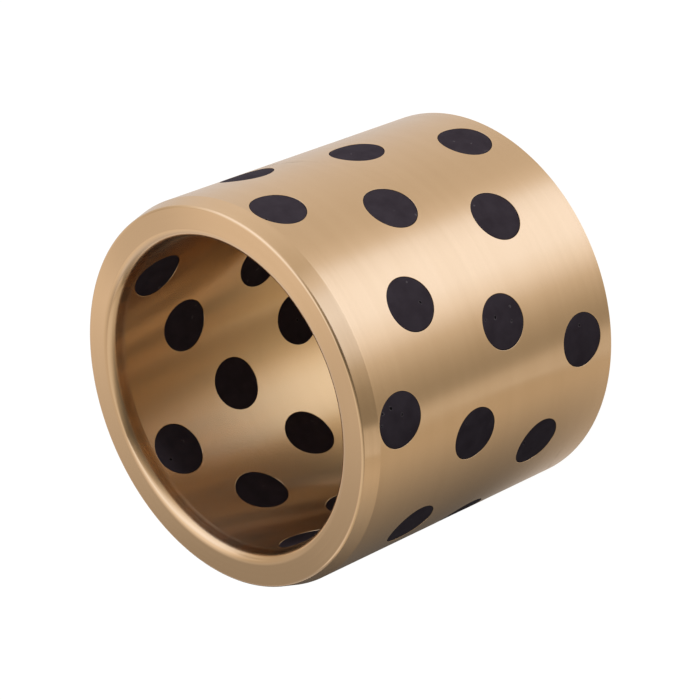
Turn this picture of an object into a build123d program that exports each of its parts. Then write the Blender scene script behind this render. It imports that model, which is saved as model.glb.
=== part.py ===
"""Graphite plugged bronze bushing, 45 mm bore, 56 mm outside, 50 mm long.

A turned bronze sleeve is drilled through from the outside in six staggered rings,
and a graphite plug fills each hole, cut flush with the outside and with the bore.
The axis is +Z and z = 0 is the plain end, which the bushing stands on.
The end with the lead-in chamfers is on top.
"""

import os
from math import cos, radians, sin

from build123d import *

# Sleeve, in millimetres
BORE_DIAMETER = 45.0
OUTSIDE_DIAMETER = 56.0
LENGTH = 50.0
LEAD_IN_LENGTH = 2.6  # along the axis, the same on the outside and in the bore
LEAD_IN_DEPTH = 0.7  # across the wall, which makes a lead-in of 15 degrees
BORE_LIP_CHAMFER = 1.0  # breaks the edge between the top face and the bore's lead-in
PLAIN_END_CHAMFER = 0.5

# Plugs
PLUG_DIAMETER = 7.8
RING_COUNT = 6
RING_PITCH = 7.35
PLUGS_PER_RING = 5
RING_TURN = -43.2  # degrees from a ring to the one below it, so that no two plugs line up

DRILL_CLEARANCE = 1.0  # how far each hole's cutter starts and ends beyond the wall

BORE_RADIUS = BORE_DIAMETER / 2
OUTSIDE_RADIUS = OUTSIDE_DIAMETER / 2
PLUG_RADIUS = PLUG_DIAMETER / 2
DRILL_DEPTH = OUTSIDE_RADIUS - BORE_RADIUS + 2 * DRILL_CLEARANCE
TOP_RING_HEIGHT = (LENGTH + (RING_COUNT - 1) * RING_PITCH) / 2  # the rings are centred on the length


def plug_seat(ring, place):
    """The plane that one plug's hole is drilled from, just outside the sleeve and facing out."""
    angle = radians(ring * RING_TURN + place * 360 / PLUGS_PER_RING)
    outward = Vector(cos(angle), sin(angle), 0)
    height = Vector(0, 0, TOP_RING_HEIGHT - ring * RING_PITCH)
    return Plane(
        origin=outward * (OUTSIDE_RADIUS + DRILL_CLEARANCE) + height,
        x_dir=(0, 0, 1),
        z_dir=outward,
    )


# Each plug is named by its ring, counted down from the lead-in end, and a letter round the ring
plug_seats = {
    f"graphite_plug_{ring + 1}{'abcde'[place]}": plug_seat(ring, place)
    for ring in range(RING_COUNT)
    for place in range(PLUGS_PER_RING)
}

os.makedirs("parts", exist_ok=True)

# Bronze sleeve: the wall's section turned about Z, then drilled
with BuildPart() as bronze_sleeve:
    with BuildSketch(Plane.XZ) as wall_section:
        with BuildLine():
            Polyline(
                (BORE_RADIUS, 0),
                (OUTSIDE_RADIUS, 0),
                (OUTSIDE_RADIUS, LENGTH - LEAD_IN_LENGTH),
                (OUTSIDE_RADIUS - LEAD_IN_DEPTH, LENGTH),
                (BORE_RADIUS + LEAD_IN_DEPTH, LENGTH),
                (BORE_RADIUS, LENGTH - LEAD_IN_LENGTH),
                close=True,
            )
        make_face()
        bore_lip = wall_section.vertices().group_by(Axis.Y)[-1].sort_by(Axis.X)[0]
        chamfer(bore_lip, length=BORE_LIP_CHAMFER)
        plain_end_corners = wall_section.vertices().group_by(Axis.Y)[0]
        chamfer(plain_end_corners, length=PLAIN_END_CHAMFER)
    revolve(axis=Axis.Z)
    with Locations(*plug_seats.values()):
        Hole(radius=PLUG_RADIUS, depth=DRILL_DEPTH)

bronze_sleeve.part.label = "bronze_sleeve"
export_step(bronze_sleeve.part, "parts/bronze_sleeve.step")

# Graphite plugs: rods that fill the holes, with both ends turned to the sleeve's own curves
for name, seat in plug_seats.items():
    with BuildPart() as graphite_plug:
        with BuildSketch(seat):
            Circle(PLUG_RADIUS)
        extrude(amount=-DRILL_DEPTH)
        with BuildSketch(Plane.XY):
            Circle(OUTSIDE_RADIUS)
            Circle(BORE_RADIUS, mode=Mode.SUBTRACT)
        extrude(amount=LENGTH, mode=Mode.INTERSECT)

    graphite_plug.part.label = name
    export_step(graphite_plug.part, f"parts/{name}.step")
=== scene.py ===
"""Looks of the graphite plugged bushing: one turned bronze sleeve and thirty graphite plugs.

Lengths are in metres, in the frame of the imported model. The axis is +Z, the plain end stands on
z = 0, and the end with the lead-ins is on top. Each piece is a closed mesh whose corners are true
small roundings, so every vertex has one true normal.
"""

from math import asin, atan2, cos, floor, hypot, pi, radians, sin, tan

import bmesh
import bpy
from mathutils import Matrix, Vector
from mathutils.geometry import delaunay_2d_cdt


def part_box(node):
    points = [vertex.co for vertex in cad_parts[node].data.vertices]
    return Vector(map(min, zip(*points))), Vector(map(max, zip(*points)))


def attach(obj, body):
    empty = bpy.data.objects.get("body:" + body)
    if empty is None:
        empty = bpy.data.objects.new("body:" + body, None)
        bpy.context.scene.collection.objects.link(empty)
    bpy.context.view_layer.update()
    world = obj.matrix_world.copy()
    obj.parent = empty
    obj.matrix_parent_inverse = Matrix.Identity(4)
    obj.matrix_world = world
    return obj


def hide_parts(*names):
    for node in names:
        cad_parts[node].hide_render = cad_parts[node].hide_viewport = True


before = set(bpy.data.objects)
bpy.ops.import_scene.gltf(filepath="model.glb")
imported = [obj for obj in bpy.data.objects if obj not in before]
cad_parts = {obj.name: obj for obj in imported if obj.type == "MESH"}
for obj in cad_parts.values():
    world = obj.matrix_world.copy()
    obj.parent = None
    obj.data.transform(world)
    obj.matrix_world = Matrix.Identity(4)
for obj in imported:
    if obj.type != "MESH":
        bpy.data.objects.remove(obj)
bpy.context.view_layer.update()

MM = 0.001

# Sizes taken from the frame
sleeve_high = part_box("bronze_sleeve")[1]
OUTSIDE_RADIUS = sleeve_high.x
LENGTH = sleeve_high.z

# Sleeve
BORE_RADIUS = 22.5 * MM
LEAD_IN_LENGTH = 2.6 * MM
LEAD_IN_DEPTH = 0.7 * MM
BORE_LEAD_IN_DEPTH = 0.5 * MM
PLAIN_END_CHAMFER = 0.5 * MM
LIP_ROUNDING = 1.5 * MM  # between the top face and the bore's lead-in
TOP_EDGE_ROUNDING = 0.45 * MM  # between the top face and the outside lead-in
EDGE_ROUNDING = 0.12 * MM  # a turned edge that has only been deburred
LEAD_IN_ROUNDING = 0.2 * MM  # where a lead-in runs out into the wall

# Plugs
HOLE_RADIUS = 3.9 * MM
HOLE_EDGE_ROUNDING = 0.06 * MM
PLUG_GAP = 0.05 * MM  # the line of glue and dust round a plug
PLUG_EDGE_ROUNDING = 0.09 * MM
PLUG_RECESS = 0.015 * MM  # graphite wears back a little from the bronze
RING_COUNT = 6
RING_PITCH = 7.35 * MM
PLUGS_PER_RING = 5
RING_TURN = radians(-43.2)
TOP_RING_HEIGHT = (LENGTH + (RING_COUNT - 1) * RING_PITCH) / 2

# Fineness of the meshes
TURN_STEPS = 360
HOLE_STEPS = 96
EDGE_STEPS = 4
LIP_STEPS = 14
WALL_ROWS = 32
PLUG_END_RINGS = 12
HOLE_MARGIN = 0.25 * MM  # the wall's own vertices keep this far from the holes' edges
WALL_START = radians(60)  # where the seam of a wall's mesh starts, at the top
WALL_TURN = radians(-276)  # how far it winds, so that it passes between the plugs
SEAM_MARGIN = radians(0.05)  # a sliver this near the seam lies outside the wall

# Bronze
BRONZE_PALE = (0.67, 0.447, 0.245, 1)
BRONZE_DEEP = (0.65, 0.43, 0.232, 1)
TURNED_ROUGHNESS = (0.17, 0.22)
BORE_ROUGHNESS = 0.25  # the bored wall is a little rougher than the turned outside
FACE_SMOOTHING = 0.08  # and the faced end a little smoother
BORE_EDGE = (BORE_RADIUS + 0.02 * MM, BORE_RADIUS + 0.15 * MM)  # where the bored finish ends
TOOL_MARK_DEPTH = 1e-6
TOOL_MARK_STRENGTH = 0.2

# Graphite
GRAPHITE_LIGHT = (0.038, 0.0305, 0.0375, 1)
GRAPHITE_DARK = (0.029, 0.0225, 0.028, 1)
# painted highlight: the paler colour round a chip's rim
GRAPHITE_CHIP_HIGHLIGHT = (0.085, 0.075, 0.082, 1)
# painted shade: the darker colour in a chip's hollow
GRAPHITE_CHIP_SHADE = (0.006, 0.0045, 0.006, 1)
GRAPHITE_ROUGHNESS = (0.7, 0.85)
MOTTLE_SCALE = 450  # this and the other scales are per metre
GRAIN_SCALE = 7000
GRAIN_DEPTH = 10e-6
CHIP_SCALE = 420
CHIP_DEPTH = 60e-6
CHIP_FLOOR, CHIP_RIM, CHIP_HIGHLIGHT_END = 0.065, 0.095, 0.125  # from a chip's middle, in its cell's widths
RAGGED_SCALE = 2500
RAGGEDNESS = 0.05  # how far a chip's rim strays, in the same widths

# Camera
SENSOR_WIDTH = 36
FOCAL_LENGTH = 154.62
CAMERA_TARGET = (-0.521, 0.327, 25.036)  # mm
CAMERA_DISTANCE = 427.437 * MM
CAMERA_AZIMUTH = 240.754
CAMERA_ELEVATION = 40.519
CAMERA_ROLL = -112.522

# Floor and room
FLOOR_HALF = 3
FLOOR_WHITE = 0.8
FLOOR_SHADOW_DEPTH = 0.2
FLOOR_GLOW = 0.95
ROOM_LIGHT = 0.4
LAMP_DISTANCE = 0.8
TENT_RADIUS = 0.9

# Cards, as (degrees round the axis, brightness). A brightness of 1 shows a metal's colour as it is
# written. A card's light runs from warm, where it is dark, to cool, where it is bright. The
# brightnesses started from measurements of the photo, made in the direction that each spot of the
# bronze mirrors. They were then rounded, and adjusted to match the photo.
WARM_CARD = (1.05, 1, 0.93)
COOL_CARD = (0.87, 1, 1.33)
COOLING_START, COOLING_SPAN, COOLING_CURVE = 0.45, 1.2, 1.4
LOW_CARDS = (
    (0, 0.87), (20, 0.85), (44, 0.8), (55, 0.65), (80, 0.93), (120, 0.9), (150, 0.88), (180, 0.75),
    (190.5, 0.73), (193.5, 0.46), (201, 0.45), (213, 0.63), (226, 0.92), (239, 1.4), (251, 1.7),
    (270, 1.74), (281, 1.66), (291, 1.1), (301, 0.87), (317, 0.8), (332, 0.83), (360, 0.87),
)
WALL_CARDS = (
    (0, 0.95), (24, 0.8), (42, 0.8), (60, 0.6), (95, 0.75), (113, 0.95), (130, 1.15), (148, 1.15),
    (166, 1.0), (184, 0.87), (197, 0.76), (200, 0.36), (208, 0.38), (217, 0.48), (228, 0.8),
    (239, 1.4), (257, 1.75), (267, 1.6), (276, 1.15), (286, 0.75), (297, 0.77), (315, 0.88),
    (335, 0.98), (360, 0.95),
)
MIDDLE_CARDS = (
    (0, 1.0), (12, 0.7), (20, 0.7), (34, 0.9), (48, 0.92), (62, 1.15), (90, 1.15), (103, 1.4),
    (120, 1.0), (132, 0.65), (165, 0.65), (185, 0.4), (205, 0.2), (240, 0.12), (272, 0.35),
    (290, 0.8), (312, 1.4), (340, 1.55), (360, 1.0),
)
HIGH_CARDS = (
    (0, 1.35), (15, 0.95), (26, 0.78), (38, 0.85), (46, 1.04), (61, 0.99), (78, 1.04), (92, 1.25),
    (104, 1.4), (120, 1.15), (132, 0.78), (154, 0.88), (170, 0.86), (189, 0.6), (202, 0.4),
    (235, 0.12), (277, 0.5), (300, 1.35), (326, 1.8), (345, 1.65), (360, 1.35),
)
TOP_CARDS = (
    (0, 1.3), (16, 1.25), (30, 1.2), (44, 1.25), (57, 1.05), (66, 0.9), (90, 0.94), (122, 0.88),
    (154, 0.92), (185, 0.8), (205, 0.4), (239, 0.2), (275, 0.6), (289, 1.1), (326, 1.7), (360, 1.3),
)
UPPER_RINGS = (  # over LOW_CARDS, each as the elevations between which it takes over, and its cards
    (-36, -24, WALL_CARDS),
    (-6, 6, MIDDLE_CARDS),
    (26, 34, HIGH_CARDS),
    (42, 54, TOP_CARDS),
)

# Gauzes, which tint and dim what the metal mirrors near by. The bore gauze's clear spot is a fit to
# the photo, rounded.
BORE_TINT = (1, 0.93, 0.76)
BORE_GAUZE_DEPTH = 1 * MM
CLEAR_SPOT = (0, 2.5 * MM, 0)
CLEAR_SPOT_SHAPE = (0.87, 0.9, 1)  # distances along X and Y count for a little less
SHADE_TINT = (1, 0.94, 0.84)
SHADE_TURN = radians(114)
SHADE_DISTANCE = 30 * MM
FACE_TINT = (1, 0.965, 0.925)
FACE_SHADE_TURN = radians(61)
FACE_SHADE_DISTANCE = 45 * MM


# ---------------------------------------------------------------- meshes


class Shell:
    """The vertices of one closed piece, each with its true normal, and its faces."""

    def __init__(self):
        self.points = []
        self.normals = []
        self.faces = []

    def row(self, points, normals):
        """Adds vertices, and returns their indices."""
        first = len(self.points)
        self.points.extend(points)
        self.normals.extend(normals)
        return list(range(first, len(self.points)))

    def strip(self, row_a, row_b):
        """Joins two closed rows of equal length with a band of quads."""
        count = len(row_a)
        for i in range(count):
            j = (i + 1) % count
            self.faces.append((row_a[i], row_a[j], row_b[j], row_b[i]))

    def to_object(self, name, material):
        """The finished piece, with the true normals on its mesh."""
        mesh = bpy.data.meshes.new(name)
        mesh.from_pydata(self.points, [], self.faces)
        mesh.materials.append(material)
        mesh.shade_smooth()
        mesh.normals_split_custom_set_from_vertices(self.normals)
        piece = bpy.data.objects.new(name, mesh)
        bpy.context.scene.collection.objects.link(piece)
        return piece


def rounded_outline(corners):
    """Points and outward normals along a closed outline that runs counterclockwise.

    Each corner is (r, z, radius, steps), and comes out as a list of steps + 1 points on its arc.
    """
    count = len(corners)
    arcs = []
    for i, (r, z, radius, steps) in enumerate(corners):
        corner = Vector((r, z))
        arriving = (corner - Vector(corners[i - 1][:2])).normalized()
        leaving = (Vector(corners[(i + 1) % count][:2]) - corner).normalized()
        turn = -arriving.angle_signed(leaving)  # mathutils counts clockwise turns as positive
        start = corner - arriving * radius * tan(turn / 2)
        first_normal = Vector((arriving.y, -arriving.x))
        centre = start - first_normal * radius
        arc = []
        for step in range(steps + 1):
            normal = Matrix.Rotation(turn * step / steps, 2) @ first_normal
            arc.append((centre + normal * radius, normal))
        arcs.append(arc)
    return arcs


def turned_row(shell, point, normal):
    """A full circle of vertices round the axis, through one point of the section."""
    angles = [2 * pi * i / TURN_STEPS for i in range(TURN_STEPS)]
    points = [(point.x * cos(a), point.x * sin(a), point.y) for a in angles]
    normals = [(normal.x * cos(a), normal.x * sin(a), normal.y) for a in angles]
    return shell.row(points, normals)


def plug_places():
    """For each plug's node name, its angle round the axis and its height."""
    return {
        f"graphite_plug_{ring + 1}{'abcde'[place]}": (
            ring * RING_TURN + place * 2 * pi / PLUGS_PER_RING,
            TOP_RING_HEIGHT - ring * RING_PITCH,
        )
        for ring in range(RING_COUNT)
        for place in range(PLUGS_PER_RING)
    }


def hole_row(shell, place, distance, radius, tilt, facing):
    """A circle of vertices round a plug's axis.

    distance is from the plug's axis, radius from the bushing's axis. The normal leans by tilt from
    the wall's own normal, which faces out (1) or in (-1), towards the plug's axis.
    """
    turn, height = place
    points = []
    normals = []
    for i in range(HOLE_STEPS):
        alpha = 2 * pi * i / HOLE_STEPS
        across = distance * cos(alpha)
        angle = turn + asin(across / radius)
        points.append((radius * cos(angle), radius * sin(angle), height + distance * sin(alpha)))
        away = Vector((-sin(turn) * cos(alpha), cos(turn) * cos(alpha), sin(alpha)))
        wall_normal = Vector((cos(angle), sin(angle), 0)) * facing
        normals.append(wall_normal * cos(tilt) - away * sin(tilt))
    return shell.row(points, [n.normalized() for n in normals])


def hole_rows(shell, place, wall_radius, facing):
    """The rounded edge of a hole, from the wall's surface down into the hole."""
    rows = []
    for step in range(EDGE_STEPS + 1):
        tilt = pi / 2 * step / EDGE_STEPS
        distance = HOLE_RADIUS + HOLE_EDGE_ROUNDING * (1 - sin(tilt))
        radius = wall_radius - facing * HOLE_EDGE_ROUNDING * (1 - cos(tilt))
        rows.append(hole_row(shell, place, distance, radius, tilt, facing))
    return rows


def wrap(angle):
    """The same angle between -pi and pi."""
    return (angle + pi) % (2 * pi) - pi


def nearest_plug(places, wall_radius, angle, z):
    """How far a point of a wall is from the nearest plug's axis, measured square to that axis."""
    return min(
        hypot(wall_radius * sin(max(-pi / 2, min(pi / 2, wrap(angle - turn)))), z - height)
        for turn, height in places
    )


class DrilledWall:
    """A wall between its lowest and highest rows, filled round its holes with triangles.

    The triangulation is done on the unrolled wall. Its seam winds round the bushing with the
    rings, and so meets no hole.
    """

    def __init__(self, shell, wall_radius, facing, low_row, high_row, places):
        self.shell = shell
        self.radius = wall_radius
        self.facing = facing
        self.low_row = low_row
        self.high_row = high_row
        self.low = shell.points[low_row[0]][2]
        self.high = shell.points[high_row[0]][2]
        self.places = places
        self.hole_edge = HOLE_RADIUS + HOLE_EDGE_ROUNDING
        self.flat = []  # unrolled places
        self.index = []  # the shell's vertex at each place
        self.edges = []

    def seam(self, z):
        """The seam's angle at a height."""
        return WALL_START + WALL_TURN * (self.high - z) / (self.high - self.low)

    def to_nearest_plug(self, angle, z):
        return nearest_plug(self.places, self.radius, angle, z)

    def add(self, angle, z, vertex):
        """Lays one of the shell's vertices on the unrolled wall, and returns its place's index."""
        self.flat.append(Vector((angle * self.radius, z)))
        self.index.append(vertex)
        return len(self.flat) - 1

    def chain(self, items):
        """Holds the triangles to a line through these places."""
        self.edges.extend(zip(items[:-1], items[1:]))

    def lay_edge_row(self, row, z):
        """Lays the wall's lowest or highest row, which the shell has already."""
        step = 2 * pi / TURN_STEPS
        start = self.seam(z)
        shift = round(start / step)
        placed = [
            self.add(start + i * step, z, row[(i + shift) % TURN_STEPS]) for i in range(TURN_STEPS)
        ]
        placed.append(self.add(start + 2 * pi, z, self.index[placed[0]]))
        self.chain(placed)
        return placed

    def lay_inner_row(self, z):
        """Lays a row of new vertices, except where a hole is."""
        start = self.seam(z)
        placed = []
        for i in range(TURN_STEPS):
            angle = start + i * (2 * pi / TURN_STEPS)
            if self.to_nearest_plug(angle, z) < self.hole_edge + HOLE_MARGIN:
                continue
            point = (self.radius * cos(angle), self.radius * sin(angle), z)
            normal = (self.facing * cos(angle), self.facing * sin(angle), 0)
            placed.append(self.add(angle, z, self.shell.row([point], [normal])[0]))
        placed.append(self.add(start + 2 * pi, z, self.index[placed[0]]))
        return placed

    def lay_rows(self):
        """Lays all the rows, and joins their ends into the two sides of the seam."""
        left = []
        right = []
        for i in range(WALL_ROWS + 1):
            z = self.low + (self.high - self.low) * i / WALL_ROWS
            if i in (0, WALL_ROWS):
                row = self.lay_edge_row(self.low_row if i == 0 else self.high_row, z)
            else:
                row = self.lay_inner_row(z)
            left.append(row[0])
            right.append(row[-1])
        self.chain(left)
        self.chain(right)

    def lay_rim(self, place, rim):
        """Lays the rim of one hole."""
        turn, height = place
        centre = turn + 2 * pi * floor((self.seam(height) + 2 * pi - turn) / (2 * pi))
        ring = []
        for vertex in rim:
            x, y, z = self.shell.points[vertex]
            ring.append(self.add(centre + wrap(atan2(y, x) - centre), z, vertex))
        self.chain(ring + ring[:1])

    def fill(self):
        """Adds the triangles that lie on the wall and outside its holes."""
        points, _, triangles, origins, _, _ = delaunay_2d_cdt(self.flat, self.edges, [], 0, 1e-9)
        for triangle in triangles:
            a, b, c = (points[i] for i in triangle)
            middle = (a + b + c) / 3
            angle = middle.x / self.radius
            if not SEAM_MARGIN < angle - self.seam(middle.y) < 2 * pi - SEAM_MARGIN:
                continue
            if self.to_nearest_plug(angle, middle.y) < self.hole_edge:
                continue
            if ((b - a).cross(c - a) > 0) != (self.facing > 0):
                triangle = triangle[::-1]
            self.shell.faces.append(tuple(self.index[origins[i][0]] for i in triangle))


def drilled_wall(shell, wall_radius, facing, low_row, high_row, places, hole_rims):
    """Fills one wall of the sleeve."""
    wall = DrilledWall(shell, wall_radius, facing, low_row, high_row, places)
    wall.lay_rows()
    for place, rim in zip(places, hole_rims):
        wall.lay_rim(place, rim)
    wall.fill()


def make_sleeve(material):
    """The turned and drilled bronze sleeve."""
    corners = [
        (BORE_RADIUS, PLAIN_END_CHAMFER, EDGE_ROUNDING, EDGE_STEPS),
        (BORE_RADIUS + PLAIN_END_CHAMFER, 0, EDGE_ROUNDING, EDGE_STEPS),
        (OUTSIDE_RADIUS - PLAIN_END_CHAMFER, 0, EDGE_ROUNDING, EDGE_STEPS),
        (OUTSIDE_RADIUS, PLAIN_END_CHAMFER, EDGE_ROUNDING, EDGE_STEPS),
        (OUTSIDE_RADIUS, LENGTH - LEAD_IN_LENGTH, LEAD_IN_ROUNDING, EDGE_STEPS),
        (OUTSIDE_RADIUS - LEAD_IN_DEPTH, LENGTH, TOP_EDGE_ROUNDING, LIP_STEPS),
        (BORE_RADIUS + BORE_LEAD_IN_DEPTH, LENGTH, LIP_ROUNDING, LIP_STEPS),
        (BORE_RADIUS, LENGTH - LEAD_IN_LENGTH, LEAD_IN_ROUNDING, EDGE_STEPS),
    ]
    shell = Shell()
    rows = [
        [turned_row(shell, point, normal) for point, normal in arc]
        for arc in rounded_outline(corners)
    ]
    for arc_rows in rows:
        for row_a, row_b in zip(arc_rows[:-1], arc_rows[1:]):
            shell.strip(row_a, row_b)
    for i in (0, 1, 2, 4, 5, 6):  # corners 3 and 7 are followed by the drilled walls
        shell.strip(rows[i][-1], rows[i + 1][0])

    places = list(plug_places().values())
    outer_rims = []
    bore_rims = []
    for place in places:
        outer = hole_rows(shell, place, OUTSIDE_RADIUS, 1)
        bore = hole_rows(shell, place, BORE_RADIUS, -1)
        through = outer + bore[::-1]
        for row_a, row_b in zip(through[:-1], through[1:]):
            shell.strip(row_a, row_b)
        outer_rims.append(outer[0])
        bore_rims.append(bore[0])
    drilled_wall(shell, OUTSIDE_RADIUS, 1, rows[3][-1], rows[4][0], places, outer_rims)
    drilled_wall(shell, BORE_RADIUS, -1, rows[0][0], rows[7][-1], places, bore_rims)
    return shell.to_object("turned_bronze_sleeve", material)


def plug_end(shell, place, wall_radius, facing):
    """One end of a plug, curved like the wall, as rows from its middle out and over its edge."""
    turn, height = place
    flat_radius = HOLE_RADIUS - PLUG_GAP - PLUG_EDGE_ROUNDING
    rows = []
    for ring in range(1, PLUG_END_RINGS):
        distance = flat_radius * ring / PLUG_END_RINGS
        rows.append(hole_row(shell, place, distance, wall_radius, 0, facing))
    for step in range(EDGE_STEPS + 1):
        tilt = pi / 2 * step / EDGE_STEPS
        distance = flat_radius + PLUG_EDGE_ROUNDING * sin(tilt)
        depth = PLUG_EDGE_ROUNDING * (1 - cos(tilt))
        rows.append(hole_row(shell, place, distance, wall_radius - facing * depth, -tilt, facing))

    outward = Vector((cos(turn), sin(turn), 0))
    middle = outward * wall_radius + Vector((0, 0, height))
    centre = shell.row([tuple(middle)], [tuple(outward * facing)])[0]
    for i in range(HOLE_STEPS):
        pair = (rows[0][i], rows[0][(i + 1) % HOLE_STEPS])
        shell.faces.append((centre, *pair) if facing > 0 else (centre, *pair[::-1]))
    return rows


def make_plug(name, place, material):
    """One graphite plug: a rod whose ends follow the bushing's outside and bore."""
    shell = Shell()
    outer = plug_end(shell, place, OUTSIDE_RADIUS - PLUG_RECESS, 1)
    inner = plug_end(shell, place, BORE_RADIUS + PLUG_RECESS, -1)
    through = outer + inner[::-1]
    for row_a, row_b in zip(through[:-1], through[1:]):
        shell.strip(row_b, row_a)
    return shell.to_object(name, material)


# ---------------------------------------------------------------- node helpers


def new_material(name):
    """An empty material, its node tree and its shader."""
    material = bpy.data.materials.new(name)
    material.use_nodes = True
    tree = material.node_tree
    return material, tree, tree.nodes["Principled BSDF"]


def new_surface(name):
    """An empty material without a shader, and its node tree."""
    material, tree, shader = new_material(name)
    tree.nodes.remove(shader)
    return material, tree


def show(tree, surface):
    """Makes this shader node's result the material's surface."""
    tree.links.new(surface.outputs[0], tree.nodes["Material Output"].inputs["Surface"])


def node(tree, kind, inputs=None, **settings):
    """Adds a node. inputs gives values or links for its sockets, settings its own properties."""
    made = tree.nodes.new(kind)
    for key, value in settings.items():
        setattr(made, key, value)
    for key, value in (inputs or {}).items():
        if isinstance(value, bpy.types.NodeSocket):
            tree.links.new(value, made.inputs[key])
        else:
            made.inputs[key].default_value = value
    return made


def maths(tree, operation, *values):
    """Arithmetic on numbers or links."""
    inputs = dict(enumerate(values))
    return node(tree, "ShaderNodeMath", inputs, operation=operation).outputs["Value"]


def vector_maths(tree, operation, *values, output="Vector"):
    """Arithmetic on vectors or links."""
    inputs = dict(enumerate(values))
    return node(tree, "ShaderNodeVectorMath", inputs, operation=operation).outputs[output]


def separate(tree, place):
    """A vector's X, Y and Z, by name."""
    return node(tree, "ShaderNodeSeparateXYZ", {"Vector": place}).outputs


def mix(tree, factor, first, second):
    """A value that goes from first to second with factor."""
    inputs = {"Factor": factor, 2: first, 3: second}
    return node(tree, "ShaderNodeMix", inputs).outputs["Result"]


def mix_colour(tree, factor, first, second):
    """A colour that goes from first to second with factor."""
    inputs = {"Factor": factor, 6: first, 7: second}
    return node(tree, "ShaderNodeMix", inputs, data_type="RGBA").outputs[2]


def fade(tree, value, start, end, curve="SMOOTHSTEP"):
    """A value that eases from one level to another, each given as (where, level)."""
    inputs = {
        "Value": value,
        "From Min": start[0],
        "From Max": end[0],
        "To Min": start[1],
        "To Max": end[1],
    }
    return node(tree, "ShaderNodeMapRange", inputs, interpolation_type=curve).outputs["Result"]


def between(tree, factor, low, high):
    """A value from low to high as factor runs from 0.3 to 0.7, which is most of a noise."""
    return fade(tree, factor, (0.3, low), (0.7, high), "LINEAR")


def object_place(tree):
    """Where a shaded point is on its object."""
    return node(tree, "ShaderNodeTexCoord").outputs["Object"]


def distance_from_axis(tree, place):
    level = vector_maths(tree, "MULTIPLY", place, (1, 1, 0))
    return vector_maths(tree, "LENGTH", level, output="Value")


def noise(tree, place, scale, detail):
    """Plain noise, with its scale per metre."""
    inputs = {"Vector": place, "Scale": scale, "Detail": detail}
    return node(tree, "ShaderNodeTexNoise", inputs).outputs["Fac"]


def turned_noise(tree, across, along, detail):
    """Noise drawn out into rings round the axis, on the walls and on the end faces alike.

    across and along are its scales, per metre, square to the rings and along them.
    """
    place = object_place(tree)
    depth = maths(tree, "MULTIPLY", distance_from_axis(tree, place), across)
    drawn = vector_maths(tree, "MULTIPLY", place, (along, along, across))
    inputs = {"Vector": drawn, "W": depth, "Scale": 1, "Detail": detail}
    return node(tree, "ShaderNodeTexNoise", inputs, noise_dimensions="4D").outputs["Fac"]


# ---------------------------------------------------------------- materials


def bronze_roughness(tree, marks, in_bore):
    """The tool's marks outside, an even finish in the bore, and a finer one on the end faces."""
    roughness = mix(tree, in_bore, between(tree, marks, *TURNED_ROUGHNESS), BORE_ROUGHNESS)
    normal = node(tree, "ShaderNodeTexCoord").outputs["Normal"]
    facing_up = separate(tree, normal)["Z"]
    faced = fade(tree, facing_up, (0.5, 0), (0.95, FACE_SMOOTHING))
    return maths(tree, "SUBTRACT", roughness, faced)


def bronze_material():
    """Satin turned bronze: fine rings from the tool, and a sheen drawn out square to them."""
    material, tree, shader = new_material("turned_bronze")
    shader.inputs["Metallic"].default_value = 1
    shader.inputs["Anisotropic"].default_value = 0.95
    shader.inputs["Anisotropic Rotation"].default_value = 0.25
    tangent = node(tree, "ShaderNodeTangent", direction_type="RADIAL", axis="Z")
    tree.links.new(tangent.outputs["Tangent"], shader.inputs["Tangent"])

    broad = turned_noise(tree, across=500, along=25, detail=3)
    colour = mix_colour(tree, between(tree, broad, 0, 1), BRONZE_DEEP, BRONZE_PALE)
    tree.links.new(colour, shader.inputs["Base Color"])

    marks = turned_noise(tree, across=5500, along=30, detail=2)
    radius = distance_from_axis(tree, object_place(tree))
    in_bore = fade(tree, radius, (BORE_EDGE[0], 1), (BORE_EDGE[1], 0))
    tree.links.new(bronze_roughness(tree, marks, in_bore), shader.inputs["Roughness"])

    strength = fade(tree, radius, (BORE_EDGE[0], 0), (BORE_EDGE[1], TOOL_MARK_STRENGTH))
    bump = {"Height": marks, "Strength": strength, "Distance": TOOL_MARK_DEPTH}
    rings = node(tree, "ShaderNodeBump", bump)
    tree.links.new(rings.outputs["Normal"], shader.inputs["Normal"])
    return material


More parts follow.
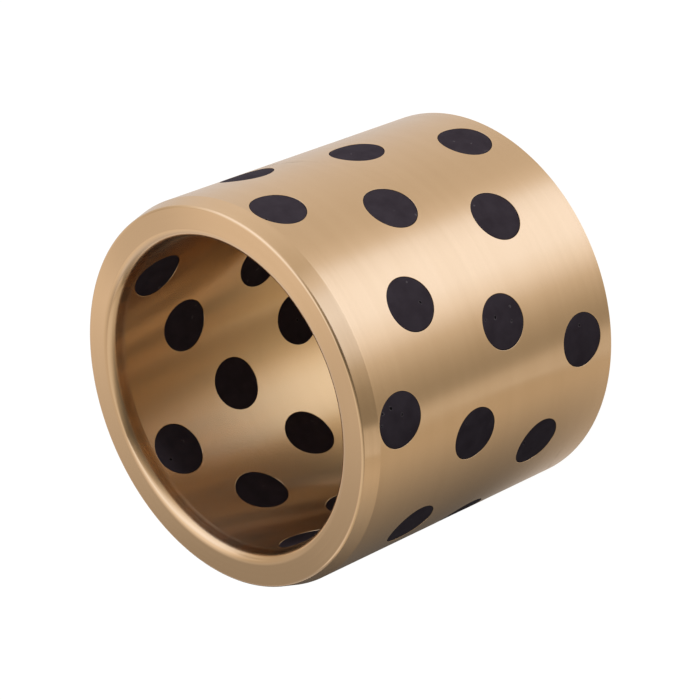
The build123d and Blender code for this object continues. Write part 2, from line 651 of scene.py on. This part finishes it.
def graphite_material():
    """Matte charcoal graphite: pressed grain, soft mottling, and a few chips, with painted shade in
    their hollows and a painted highlight round their rims.
    """
    material, tree, shader = new_material("graphite")
    shader.inputs["Specular IOR Level"].default_value = 0.02
    place = object_place(tree)
    mottle = between(tree, noise(tree, place, MOTTLE_SCALE, detail=2), 0, 1)
    colour = mix_colour(tree, mottle, GRAPHITE_DARK, GRAPHITE_LIGHT)

    ragged = noise(tree, place, RAGGED_SCALE, detail=2)
    stray = between(tree, ragged, -RAGGEDNESS, RAGGEDNESS)
    cells = node(tree, "ShaderNodeTexVoronoi", {"Vector": place, "Scale": CHIP_SCALE})
    chip = maths(tree, "ADD", stray, cells.outputs["Distance"])
    # Painted highlight: a paler ring round each chip's rim.
    chip_highlight = fade(tree, chip, (CHIP_RIM, 1), (CHIP_HIGHLIGHT_END, 0))
    # The chip's hollow is bumped in, and its floor is painted darker as painted shade.
    chip_hollow_and_shade = fade(tree, chip, (CHIP_FLOOR, 1), (CHIP_RIM, 0))
    colour = mix_colour(tree, chip_highlight, colour, GRAPHITE_CHIP_HIGHLIGHT)
    colour = mix_colour(tree, chip_hollow_and_shade, colour, GRAPHITE_CHIP_SHADE)
    tree.links.new(colour, shader.inputs["Base Color"])

    grain = noise(tree, place, GRAIN_SCALE, detail=3)
    tree.links.new(between(tree, grain, *GRAPHITE_ROUGHNESS), shader.inputs["Roughness"])
    bump = {"Height": grain, "Strength": 0.5, "Distance": GRAIN_DEPTH}
    pressed = node(tree, "ShaderNodeBump", bump).outputs["Normal"]
    bump = {"Height": chip_hollow_and_shade, "Strength": 1, "Distance": CHIP_DEPTH, "Normal": pressed}
    chipped = node(tree, "ShaderNodeBump", bump, invert=True).outputs["Normal"]
    tree.links.new(chipped, shader.inputs["Normal"])
    return material


# ---------------------------------------------------------------- object

bronze = bronze_material()
graphite = graphite_material()

sleeve = make_sleeve(bronze)
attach(sleeve, "root")
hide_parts("bronze_sleeve")

for node_name, plug_place in plug_places().items():
    plug = make_plug(node_name.replace("graphite_plug", "flush_plug"), plug_place, graphite)
    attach(plug, "root")
    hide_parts(node_name)


# ---------------------------------------------------------------- camera, floor and light


def direction(azimuth, elevation):
    """The unit vector towards an azimuth and an elevation, in degrees."""
    azimuth = radians(azimuth)
    elevation = radians(elevation)
    return Vector((cos(elevation) * cos(azimuth), cos(elevation) * sin(azimuth), sin(elevation)))


def looking_back(place, away):
    """The matrix of a camera or lamp at this place, which faces against the direction away."""
    return Matrix.Translation(place) @ away.to_track_quat("Z", "Y").to_matrix().to_4x4()


def add_camera():
    """Looks down on the end with the lead-ins, rolled so that the axis runs up to the right."""
    data = bpy.data.cameras.new("camera")
    data.sensor_width = SENSOR_WIDTH
    data.lens = FOCAL_LENGTH
    data.clip_start = 0.01
    away = direction(CAMERA_AZIMUTH, CAMERA_ELEVATION)
    place = Vector(CAMERA_TARGET) * MM + away * CAMERA_DISTANCE
    roll = Matrix.Rotation(radians(CAMERA_ROLL), 4, "Z")
    camera = bpy.data.objects.new("camera", data)
    camera.matrix_world = looking_back(place, away) @ roll
    bpy.context.scene.collection.objects.link(camera)
    bpy.context.scene.camera = camera


def rectangle(name, corners):
    """A mesh of one face."""
    mesh = bpy.data.meshes.new(name)
    mesh.from_pydata(corners, [], [(0, 1, 2, 3)])
    return mesh


def mesh_of(name, shape):
    """A mesh with the faces of this bmesh, which is freed."""
    mesh = bpy.data.meshes.new(name)
    shape.to_mesh(mesh)
    shape.free()
    return mesh


def add_stage_mesh(name, mesh, material):
    """Adds a mesh that isn't part of the object."""
    mesh.materials.append(material)
    stage = bpy.data.objects.new(name, mesh)
    bpy.context.scene.collection.objects.link(stage)
    return stage


def only_mirrored(stage):
    """Leaves a stage mesh to be seen in the metal alone."""
    stage.visible_camera = False
    stage.visible_diffuse = False
    stage.visible_shadow = False


def floor_material():
    """White paper. The camera sees it lit up to white, with the bushing's soft shadow kept."""
    material, tree = new_surface("white_paper")
    seen = node(tree, "ShaderNodeLightPath").outputs["Is Camera Ray"]
    shade = fade(tree, seen, (0, FLOOR_WHITE), (1, FLOOR_SHADOW_DEPTH), "LINEAR")
    glow = maths(tree, "MULTIPLY", seen, FLOOR_GLOW)
    paper = node(tree, "ShaderNodeBsdfDiffuse", {"Color": shade})
    light = node(tree, "ShaderNodeEmission", {"Strength": glow})
    show(tree, node(tree, "ShaderNodeAddShader", {0: paper.outputs[0], 1: light.outputs[0]}))
    return material


def add_floor():
    """A wide sheet under the bushing, which stands on its plain end."""
    half = FLOOR_HALF
    corners = [(-half, -half, 0), (half, -half, 0), (half, half, 0), (-half, half, 0)]
    floor = add_stage_mesh("paper_floor", rectangle("paper_floor", corners), floor_material())
    floor.visible_glossy = False  # so that the wall mirrors the tent below instead


def card_colour(brightness):
    """The light of a card: the brightest are a little cool, and the darkest a little warm."""
    cool = max(0, min(1, (brightness - COOLING_START) / COOLING_SPAN)) ** COOLING_CURVE
    tint = Vector(WARM_CARD).lerp(Vector(COOL_CARD), cool)
    return (*(tint * brightness), 1)


def ring_of_cards(tree, turn, cards):
    """Cards all round the bushing, as (degrees, brightness), each fading into the next."""
    ramp = node(tree, "ShaderNodeValToRGB", {"Fac": turn})
    elements = ramp.color_ramp.elements
    elements.remove(elements[1])
    elements[0].position = 0
    elements[0].color = card_colour(cards[0][1])
    for degrees, brightness in cards[1:]:
        element = elements.new(degrees / 360)
        element.color = card_colour(brightness)
    return ramp.outputs["Color"]


def tent_material():
    """What the metal mirrors: five rings of cards, each giving way to the next one up."""
    material, tree = new_surface("paper_tent")
    xyz = separate(tree, object_place(tree))
    angle = maths(tree, "ARCTAN2", xyz["Y"], xyz["X"])
    turn = maths(tree, "FRACT", maths(tree, "DIVIDE", angle, 2 * pi))
    colour = ring_of_cards(tree, turn, LOW_CARDS)
    for low, high, cards in UPPER_RINGS:
        start = TENT_RADIUS * sin(radians(low))
        end = TENT_RADIUS * sin(radians(high))
        rise = fade(tree, xyz["Z"], (start, 0), (end, 1))
        colour = mix_colour(tree, rise, colour, ring_of_cards(tree, turn, cards))
    show(tree, node(tree, "ShaderNodeEmission", {"Color": colour, "Strength": 1}))
    material.cycles.emission_sampling = "NONE"
    return material


def add_tent():
    """A sphere round the bushing, which carries the cards."""
    shape = bmesh.new()
    bmesh.ops.create_uvsphere(shape, u_segments=96, v_segments=48, radius=TENT_RADIUS)
    tent = add_stage_mesh("paper_tent", mesh_of("paper_tent", shape), tent_material())
    tent.location = (0, 0, LENGTH / 2)
    only_mirrored(tent)


def add_gauze(name, mesh, tint, light):
    """Adds gauze, which tints what is mirrored through it and dims it to light(tree, place)."""
    material, tree = new_surface(name)
    inputs = {0: tint, "Scale": light(tree, object_place(tree))}
    colour = node(tree, "ShaderNodeVectorMath", inputs, operation="SCALE").outputs["Vector"]
    show(tree, node(tree, "ShaderNodeBsdfTransparent", {"Color": colour}))
    gauze = add_stage_mesh(name, mesh, material)
    only_mirrored(gauze)
    return gauze


def add_upright_gauze(name, reach, heights, turn, distance, tint, light):
    """Adds a rectangle of gauze upright beside the axis, at a turn round it and a distance from it.

    reach and heights are where its sides and its lower and upper edges are, on its own Y and Z.
    """
    left, right = reach
    low, high = heights
    corners = [(0, left, low), (0, right, low), (0, right, high), (0, left, high)]
    gauze = add_gauze(name, rectangle(name, corners), tint, light)
    gauze.rotation_euler = (0, 0, turn)
    gauze.location = (distance * cos(turn), distance * sin(turn), 0)


def bore_gauze_light(tree, place):
    """Clearest at one spot, and thick towards one side."""
    away = vector_maths(tree, "SUBTRACT", place, CLEAR_SPOT)
    away = vector_maths(tree, "MULTIPLY", away, CLEAR_SPOT_SHAPE)
    reach = vector_maths(tree, "LENGTH", away, output="Value")
    spot = fade(tree, reach, (6 * MM, 1), (21 * MM, 0.31))
    side = fade(tree, separate(tree, place)["X"], (8 * MM, 1), (20 * MM, 0.2))
    return maths(tree, "MULTIPLY", spot, side)


def add_bore_gauze():
    """Gauze under the bore: less light comes up it than plays outside."""
    shape = bmesh.new()
    bmesh.ops.create_circle(shape, cap_ends=True, segments=96, radius=BORE_RADIUS)
    mesh = mesh_of("bore_gauze", shape)
    gauze = add_gauze("bore_gauze", mesh, BORE_TINT, bore_gauze_light)
    gauze.location = (0, 0, -BORE_GAUZE_DEPTH)


def shade_gauze_light(tree, place):
    """Thickest at its middle, and fading out at its foot and towards its near side."""
    xyz = separate(tree, place)
    side = maths(tree, "ABSOLUTE", xyz["Y"])
    across = fade(tree, side, (8 * MM, 0.86), (80 * MM, 0.16))
    height = maths(tree, "ADD", xyz["Z"], side)
    up = fade(tree, height, (-10 * MM, 0), (32 * MM, 1))
    near = fade(tree, xyz["Y"], (-20 * MM, 0), (-4 * MM, 1))
    shade = maths(tree, "MULTIPLY", maths(tree, "MULTIPLY", across, up), near)
    return maths(tree, "SUBTRACT", 1, shade)


def add_shade_gauze():
    """Gauze upright beside the bushing: the shade that a near surface has."""
    add_upright_gauze(
        "shade_gauze",
        reach=(-20 * MM, 110 * MM),
        heights=(-60 * MM, LENGTH),
        turn=SHADE_TURN,
        distance=SHADE_DISTANCE,
        tint=SHADE_TINT,
        light=shade_gauze_light,
    )


def face_gauze_light(tree, place):
    """Darker along a slant, changed by three patches, and clear towards three of its edges."""
    xyz = separate(tree, place)
    slant = maths(tree, "MULTIPLY_ADD", xyz["Z"], -0.4, xyz["Y"])
    level = fade(tree, slant, (-50 * MM, 1), (-7 * MM, 0.455), "LINEAR")

    side = fade(tree, xyz["Y"], (-25 * MM, 1), (-14 * MM, 0))
    under = fade(tree, xyz["Z"], (86 * MM, 0.2), (100 * MM, 0))
    corner = maths(tree, "MULTIPLY", side, under)
    dip = fade(tree, maths(tree, "ABSOLUTE", xyz["Y"]), (3 * MM, 0.06), (14 * MM, 0))
    lift = fade(tree, xyz["Y"], (28 * MM, 0), (42 * MM, -0.36))
    for patch, start, end in ((corner, 70, 80), (dip, 90, 102), (lift, 88, 98)):
        above = fade(tree, xyz["Z"], (start * MM, 0), (end * MM, 1))
        level = maths(tree, "SUBTRACT", level, maths(tree, "MULTIPLY", patch, above))

    for where, start, end in ((xyz["Z"], 64, 48), (xyz["Z"], 140, 162), (xyz["Y"], 110, 145)):
        clear = fade(tree, where, (start * MM, 0), (end * MM, 1))
        level = mix(tree, clear, level, 1)
    return level


def add_face_gauze():
    """Gauze upright behind the bushing, above its top, where the faced end mirrors it."""
    add_upright_gauze(
        "face_gauze",
        reach=(-60 * MM, 150 * MM),
        heights=(LENGTH, LENGTH + 115 * MM),
        turn=FACE_SHADE_TURN,
        distance=FACE_SHADE_DISTANCE,
        tint=FACE_TINT,
        light=face_gauze_light,
    )


def add_softbox(name, azimuth, elevation, size, watts):
    """A square area lamp, facing the bushing. The metal mirrors the cards, and not the lamp."""
    data = bpy.data.lights.new(name, "AREA")
    data.size = size
    data.energy = watts
    lamp = bpy.data.objects.new(name, data)
    away = direction(azimuth, elevation)
    lamp.matrix_world = looking_back(away * LAMP_DISTANCE, away)
    lamp.visible_glossy = False
    bpy.context.scene.collection.objects.link(lamp)


def add_world():
    """A white room, which lights the bushing less brightly than the camera sees it."""
    world = bpy.data.worlds.new("studio")
    world.use_nodes = True
    bpy.context.scene.world = world
    tree = world.node_tree
    seen = node(tree, "ShaderNodeLightPath").outputs["Is Camera Ray"]
    background = tree.nodes["Background"]
    background.inputs["Color"].default_value = (1, 1, 1, 1)
    strength = fade(tree, seen, (0, ROOM_LIGHT), (1, 1), "LINEAR")
    tree.links.new(strength, background.inputs["Strength"])


add_camera()
add_floor()
add_tent()
add_bore_gauze()
add_shade_gauze()
add_face_gauze()
add_softbox("key_softbox", azimuth=290, elevation=5, size=0.2, watts=5.5)
add_world()

bpy.context.scene.view_settings.view_transform = "Standard"
